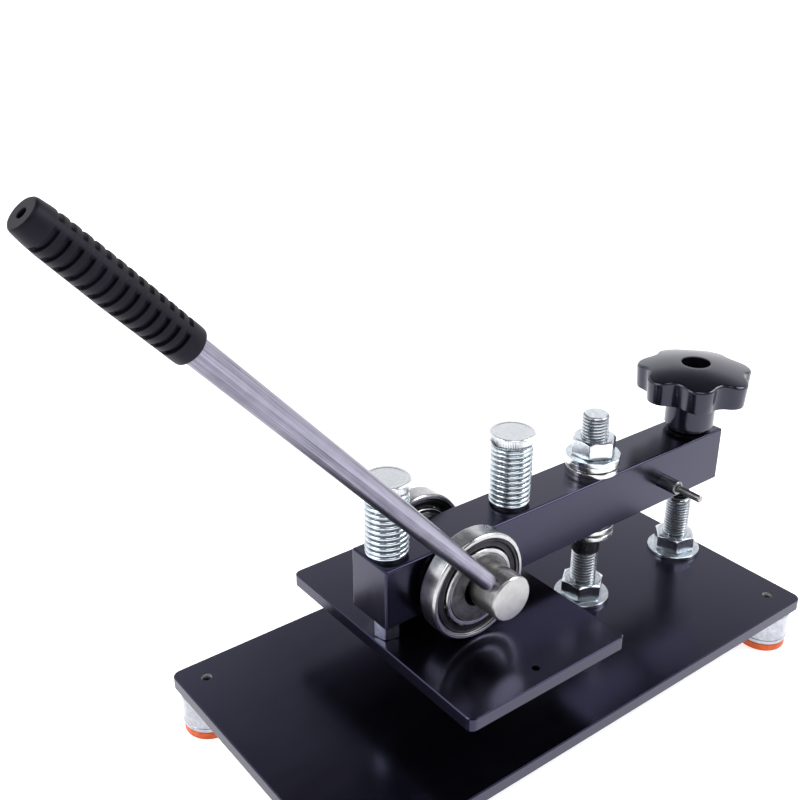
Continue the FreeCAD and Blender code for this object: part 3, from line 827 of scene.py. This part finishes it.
bearing = {"outer": 31.0, "land": 28.3, "shieldOuter": 27.4, "shieldInner": 23.2, "recess": 1.1,
           "innerOuter": 22.4, "bore": 20.0}
spacer = {"outer": 17.0, "bore": 11.2}
for side in ("near", "far"):
    node = "bearing_outer_" + side
    a, b = low(node, "y"), high(node, "y")
    r, land, lip, deep = bearing["outer"], bearing["land"], bearing["shieldOuter"], bearing["recess"]
    outline = [(land, a), (r - 0.9, a), (r, a + 0.9), (r, b - 0.9), (r - 0.9, b), (land, b),
               (land - 0.1, b - deep), (lip, b - deep - 0.1), (lip, a + deep + 0.1), (land - 0.1, a + deep)]
    makePiece("roller_" + side, [turned(outline, camLine, acrossAxis, 0.3, True, sides=160)], "ring",
              side + "_roller", [node])
    node = "bearing_shields_" + side
    inner = bearing["shieldInner"]
    plates = []
    shield = [(lip, 1.6), (lip, 0.75), (lip - 0.35, 0.4), (lip - 0.9, 0.4), (lip - 1.25, 0.8),
              (lip - 1.4, 1.15), (inner + 0.8, 1.25), (inner + 0.35, 1.05), (inner, 1.1), (inner, 1.6)]
    for face, inward in ((a, 1), (b, -1)):
        outline = [(q, face + inward * depth) for q, depth in shield]
        plates.append(turned(outline, camLine, acrossAxis, 0.15, True, sides=128))
    makePiece("roller_shields_" + side, plates, "shield", side + "_roller", [node])
    node = "bearing_inner_" + side
    out, bore = bearing["innerOuter"], bearing["bore"]
    outline = [(bore, a), (out - 0.4, a), (out, a + 0.5), (out, b - 0.5), (out - 0.4, b), (bore, b)]
    shape = turned(outline, camLine, acrossAxis, 0.3, True, sides=128)
    makePiece("inner_ring_" + side, [shape], "ring", "lever", [node])
    node = "thrust_ring_" + side
    a, b = low(node, "y"), high(node, "y")
    outline = ringOutline(spacer["outer"], spacer["bore"], a, b)
    makePiece("spacer_" + side, [turned(outline, shaftLine, acrossAxis, 0.5, True)], "ring", "arm", [node])
print("shaft, cams and roller bearings made")

# lever rod with its grooved rubber grip

leverLine = (shaftLine[0], round(middle("lever_grip").y, 1), shaftLine[2])
leverWay = (math.cos(math.radians(leverAngle)), 0, math.sin(math.radians(leverAngle)))
# (radius, distance from the shaft's middle) along the bar
rodTaper = [(0, 3.0), (4.0, 3.0), (4.0, 13.6), (4.55, 14.2), (4.8, 16.0), (4.85, 40.0), (5.4, 59.0),
            (5.5, 78.0), (5.85, 104.0), (6.0, 130.0), (6.0, 318.0), (0, 318.0)]
makePiece("lever_bar", [turned(rodTaper, leverLine, leverWay, 0.15)], "bar", "lever", ["lever_rod"])

grip = {"first": 251.0, "pitch": 5.14, "grooves": 13, "width": 2.15, "depth": 1.55, "slope": 0.18,
        "ribs": (32.5, 152.5, -87.5), "ribWidth": 21.0, "fade": 7.0, "crown": 0.07}
gripHole = ((2.5, 322.0), (2.15, 321.8), (2.0, 321.3), (2.0, 318.2))
gripShape = ((241.5, 7.0), (241.9, 7.5), (242.5, 8.25), (244.0, 8.4), (250.5, 8.4), (281.5, 8.6),
             (310.0, 8.15), (316.0, 7.75), (320.4, 7.25), (321.4, 6.95), (322.0, 6.3))


def gripRadius(s):
    for (a, first), (b, second) in zip(gripShape, gripShape[1:]):
        if s <= b:
            return first + (second - first) * (s - a) / (b - a)
    return gripShape[-1][1]


def grooveShare(s, degrees):
    # 0 on the ribs and collars, 1 at the bottom of a groove
    index = round((s - grip["first"]) / grip["pitch"])
    if not 0 <= index < grip["grooves"]:
        return 0.0
    off = abs(s - grip["first"] - index * grip["pitch"])
    along = min(max((grip["width"] / 2 + grip["slope"] - off) / (2 * grip["slope"]), 0.0), 1.0)
    across = 180.0
    for rib in grip["ribs"]:
        across = min(across, abs((degrees - rib + 180) % 360 - 180))
    around = min(max((across - grip["ribWidth"] / 2) / grip["fade"], 0.0), 1.0)
    return along * math.sin(around * math.pi / 2)


def makeGrip():
    rows = [s for s, _ in gripShape[:5]]
    for i in range(grip["grooves"]):
        s = grip["first"] + i * grip["pitch"]
        half, slope = grip["width"] / 2, grip["slope"]
        steps = (half - slope, half, half + slope, half + 0.55)
        rows += [s - step for step in reversed(steps)] + [s] + [s + step for step in steps]
    rows = sorted(rows + [316.0, 319.0, 320.4, 321.0, 321.4, 321.75, 322.0])
    point = axisFrame(leverLine, leverWay)
    sides = 120
    rings = []
    for s in rows:
        ring = []
        for k in range(sides):
            turn = 2 * math.pi * k / sides
            r = gripRadius(s) - grip["depth"] * grooveShare(s, math.degrees(turn))
            near = abs((s - grip["first"] + grip["pitch"] / 2) % grip["pitch"] - grip["pitch"] / 2)
            crown = grip["crown"] if abs(near - grip["width"] / 2 - grip["slope"]) < 0.02 else 0.0
            ring.append(point(r - crown, turn, s))
        rings.append(ring)
    for r, s in gripHole:
        rings.append([point(r, 2 * math.pi * k / sides, s) for k in range(sides)])
    return joinRings(rings)


makePiece("grip_sleeve", [makeGrip()], "rubber", "lever", ["lever_grip"], sharp=38.0)
print("lever and grip made")

# adjusting screw, its threaded insert and the star knob

knob = {"lobes": 7, "lobeRadius": 10.5, "lobeCentre": 25.5, "hollowCentre": 40.2, "firstLobe": 224.5,
        "rim": 36.0, "rimHeight": 164.3, "bottom": 149.4, "dome": 5.7, "recess": 8.8, "recessFloor": 161.4,
        "edge": 1.5, "taper": 0.9, "hub": 15.5, "arcPoints": 16}
adjuster = {"radius": 6.0, "pitch": 2.0, "depth": 1.15}
knobSpot = (rear.x, rear.y)


def starOutline():
    # points and outward directions round the star, made of lobe arcs and hollow arcs
    half = math.pi / knob["lobes"]
    lobe = Vector((knob["lobeCentre"], 0))
    hollow = Vector((math.cos(half), math.sin(half))) * knob["hollowCentre"]
    gap = hollow - lobe
    hollowRadius = gap.length - knob["lobeRadius"]
    swing = math.atan2(gap.y, gap.x)
    result = []
    n = knob["arcPoints"]
    for i in range(n):
        a = -swing + 2 * swing * i / n
        out = Vector((math.cos(a), math.sin(a)))
        result.append((lobe + out * knob["lobeRadius"], out))
    start = math.atan2(-gap.y, -gap.x)
    inward = math.atan2(-hollow.y, -hollow.x)
    span = (inward - start + math.pi) % (2 * math.pi) - math.pi
    for i in range(n):
        a = start + 2 * span * i / n
        out = Vector((math.cos(a), math.sin(a)))
        result.append((hollow + out * hollowRadius, -out))
    spun = []
    for k in range(knob["lobes"]):
        turn = math.radians(knob["firstLobe"]) + 2 * math.pi * k / knob["lobes"]
        spin = Matrix.Rotation(turn, 2)
        spun += [(spin @ p, spin @ out) for p, out in result]
    return spun


def makeKnob():
    outline = starOutline()
    x, y = knobSpot
    top, bottom, edge = knob["rimHeight"], knob["bottom"], knob["edge"]

    def domeAt(radius):
        return top + knob["dome"] * (1 - (radius / knob["rim"]) ** 2)

    rings = []

    def addRing(inset, height, pull=0.0, circle=0.0, onDome=False):
        ring = []
        for p, out in outline:
            q = p - out * inset
            if circle:
                q = q.lerp(q.normalized() * circle, pull)
            z = domeAt(q.length) + height if onDome else height
            ring.append((x + q.x, y + q.y, z))
        rings.append(ring)

    hubR = knob["hub"]
    hubBottom = low("star_knob")
    for r, z in ((0.001, hubBottom), (8.6, hubBottom), (hubR - 0.9, hubBottom), (hubR - 0.3, hubBottom + 0.3),
                 (hubR, hubBottom + 1.0), (hubR, bottom - 2.5), (hubR + 0.5, bottom - 1.0),
                 (hubR + 1.8, bottom)):
        addRing(0.0, z, 1.0, r)
    addRing(3.0, bottom + 1.2, 0.5, 20.0)
    addRing(2.2, bottom + 0.2)
    addRing(knob["taper"] + 0.8, bottom)
    addRing(knob["taper"] + 0.2, bottom + 0.3)
    addRing(knob["taper"], bottom + 1.0)
    addRing(knob["taper"] * 0.5, (bottom + top) / 2)
    for i in range(7):
        a = math.pi / 2 * i / 6
        inset = edge * (1 - math.cos(a))
        addRing(inset, -edge * (1 - math.sin(a)), onDome=True)
    for i in range(1, 9):
        addRing(edge, 0.0, (i / 8) ** 0.9, knob["recess"] + 0.7, onDome=True)
    addRing(edge, -0.25, 1.0, knob["recess"] + 0.2, onDome=True)
    addRing(edge, -0.9, 1.0, knob["recess"], onDome=True)
    addRing(edge, knob["recessFloor"] + 0.4, 1.0, knob["recess"] - 0.1)
    addRing(edge, knob["recessFloor"], 1.0, knob["recess"] - 0.6)
    addRing(edge, knob["recessFloor"], 1.0, 0.001)
    return joinRings(rings)


makePiece("star_grip_knob", [makeKnob()], "plastic", "knob", ["star_knob"], sharp=42.0)
z0, z1 = low("knob_insert"), high("knob_insert")
insertOutline = [(6.1, z0), (11.9, z0), (12.5, z0 + 0.6), (12.5, z0 + 2.6), (12.1, z0 + 3.0), (9.0, z0 + 3.0),
                 (9.0, z1), (6.1, z1)]
makePiece("knob_boss", [turned(insertOutline, (*knobSpot, 0), upAxis, 0.3, True)], "blackSteel", "knob",
          ["knob_insert"])
screwStem = threaded(*knobSpot, low("adjusting_screw"), high("adjusting_screw"),
                     adjuster["radius"], adjuster["pitch"], adjuster["depth"])
makePiece("clamp_screw", [screwStem], "blackSteel", "screw", ["adjusting_screw"], sharp=50.0)
print("star knob made")

# spring plunger in the beam's side

plunger = {"sleeve": 4.5, "bore": 2.4, "pin": 2.2}
a, b = low("plunger_sleeve", "y"), high("plunger_sleeve", "y")
r, bore = plunger["sleeve"], plunger["bore"]
sleeveOutline = [(bore, a + 0.6), (bore + 0.5, a), (r - 0.6, a), (r, a + 0.7), (r, b), (bore, b)]
makePiece("plunger_body", [turned(sleeveOutline, plungerLine, acrossAxis, 0.2, True)], "sleeve", "arm",
          ["plunger_sleeve"])
a, b = low("plunger_pin", "y"), high("plunger_pin", "y")
r = plunger["pin"]
pinOutline = [(0, a), (r - 0.5, a), (r, a + 0.5), (r, b - 0.4), (r - 0.4, b), (0, b)]
makePiece("plunger_rod", [turned(pinOutline, plungerLine, acrossAxis, 0.15)], "hub", "plunger",
          ["plunger_pin"])
print("plunger made")

# floor, lights and camera

studio = {"floor": 14.0, "strength": 1.3, "leftLift": 0.10, "roomDimming": 0.9,
          "room": (0.10, 0.10, 0.115, 1), "zenith": (0.03, 0.03, 0.035, 1)}
lamps = {
    "softboxLeft": {"place": (-1.1, 0.35, 1.05), "target": (0, 0, 0.08), "size": 0.9, "power": 9.0},
    "softboxTop": {"place": (-0.2, -0.6, 1.7), "target": (0, 0, 0.05), "size": 1.0, "power": 8.0},
    "softboxRight": {"place": (1.0, -0.75, 1.2), "target": (0, 0, 0.08), "size": 0.8, "power": 14.0},
}
camera = {"place": (-0.36703, -0.37834, 0.43080), "lens": 48.17, "yaw": 52.58, "pitch": -24.92,
          "nearest": 0.02, "farthest": 60.0}


def makeFloor():
    mesh = bpy.data.meshes.new("studio_floor")
    work = bmesh.new()
    bmesh.ops.create_circle(work, cap_ends=True, cap_tris=True, segments=96, radius=studio["floor"])
    work.to_mesh(mesh)
    work.free()
    floor = bpy.data.objects.new("studio_floor", mesh)
    bpy.context.scene.collection.objects.link(floor)
    mesh.materials.append(finishes["floor"])


def makeSky():
    # a white backdrop all round, darker overhead, with the bright part higher on the left
    world = bpy.data.worlds.new("studioSky")
    bpy.context.scene.world = world
    world.use_nodes = True
    tree = world.node_tree
    shader = tree.nodes["Background"]
    way = Wire(tree, shader.outputs[0]).node("ShaderNodeTexCoord", out="Generated")
    leftward = way.part("Y") * 0.61 - way.part("X") * 0.79
    height = way.part("Z") - leftward.step(0.07, 0.20) * studio["leftLift"]
    white, dark = grey(1.0), studio["zenith"]
    stops = [(0.0, white), (0.50, (0.95, 0.95, 0.97, 1)), (0.60, (0.30, 0.30, 0.33, 1)),
             (0.70, (0.11, 0.11, 0.12, 1)), (0.86, dark), (1.0, dark)]
    sky = height.node("ShaderNodeValToRGB", {"stops": stops}, {"Fac": height})
    # the ceiling over the near side of the room is dim
    nearSide = way.part("X") * -0.55 + way.part("Y") * -0.72
    dimming = nearSide.step(0.05, 0.75) * way.part("Z").step(0.24, 0.42) * studio["roomDimming"]
    sky = dimming.blend(sky, studio["room"])
    tree.links.new(sky.socket, shader.inputs["Color"])
    shader.inputs["Strength"].default_value = studio["strength"]


def makeLamp(name, place, target, size, power):
    light = bpy.data.lights.new(name, "AREA")
    light.shape = "DISK"
    light.size = size
    light.energy = power
    lamp = bpy.data.objects.new(name, light)
    lamp.location = place
    lamp.rotation_euler = (Vector(target) - Vector(place)).to_track_quat("-Z", "Y").to_euler()
    bpy.context.scene.collection.objects.link(lamp)


def makeCamera():
    data = bpy.data.cameras.new("camera")
    data.lens = camera["lens"]
    data.sensor_width = 36.0
    data.clip_start = camera["nearest"]
    data.clip_end = camera["farthest"]
    viewpoint = bpy.data.objects.new("camera", data)
    viewpoint.location = camera["place"]
    yaw, pitch = math.radians(camera["yaw"]), math.radians(camera["pitch"])
    viewpoint.rotation_euler = (math.pi / 2 + pitch, 0.0, yaw - math.pi / 2)
    bpy.context.scene.collection.objects.link(viewpoint)
    bpy.context.scene.camera = viewpoint


makeFloor()
makeSky()
for name, lamp in lamps.items():
    makeLamp(name, **lamp)
makeCamera()
view = bpy.context.scene.view_settings
view.view_transform = "Standard"
view.look = "None"
print("stage, lights and camera made")
